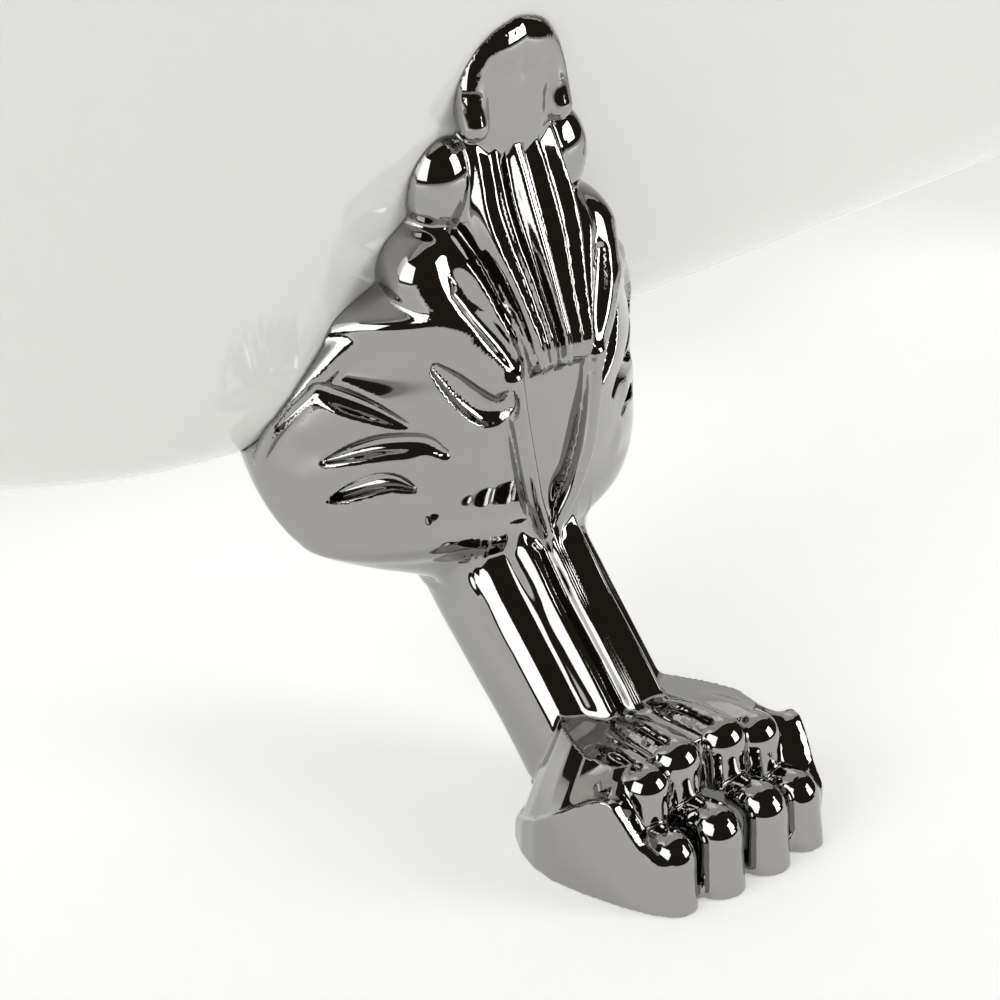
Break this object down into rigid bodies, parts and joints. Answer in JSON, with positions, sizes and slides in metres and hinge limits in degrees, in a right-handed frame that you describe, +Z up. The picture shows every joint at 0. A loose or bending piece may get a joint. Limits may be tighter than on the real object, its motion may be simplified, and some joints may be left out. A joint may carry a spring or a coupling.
{
  "type": "clawfoot bathtub",
  "caption": "Free-standing double-ended bath with a rolled rim on cast lion-paw feet, with a pop-up waste and a slotted overflow.",
  "frame": {"origin": "on the floor, under the middle of the bath", "axes": "+X along the bath, +Y across it towards the overflow, +Z up"},
  "size_m": [1.6998, 0.73, 0.6],
  "materials": {
    "white_basin": "gloss",
    "white_shell": "gloss",
    "sealant": "satin",
    "birch_ply": "matte",
    "zinc_steel": "satin",
    "chrome": "polished",
    "black_rubber": "matte",
    "black_plastic": "satin",
    "hose_plastic": "satin"
  },
  "bodies": {
    "bath": {"inner_basin": "white_basin", "outer_shell": "white_shell", "rim_bead": "sealant", "base_board": "birch_ply", "anchor_blocks": "birch_ply", "anchor_plates": "zinc_steel", "foot_front_left": "chrome", "foot_front_right": "chrome", "foot_back_left": "chrome", "foot_back_right": "chrome", "foot_pads": "black_rubber", "foot_bolts": "zinc_steel", "foot_washers": "zinc_steel", "drain_flange": "chrome", "drain_gasket": "black_rubber", "drain_body": "black_plastic", "drain_seal": "black_rubber", "drain_nut": "chrome", "drain_tailpiece": "chrome", "overflow_cover": "chrome", "overflow_gasket": "black_rubber", "overflow_screw": "chrome", "overflow_body": "black_plastic", "overflow_hose": "hose_plastic", "hose_clips": "zinc_steel"},
    "stopper": {"stopper_cap": "chrome", "stopper_seal": "black_rubber", "stopper_stem": "zinc_steel", "stopper_retainer": "zinc_steel"}
  },
  "joints": [
    {"name": "stopper_lift", "type": "slide", "parent": "bath", "child": "stopper", "axis": [0, 0, 1], "range_m": [0, 0.008]}
  ]
}
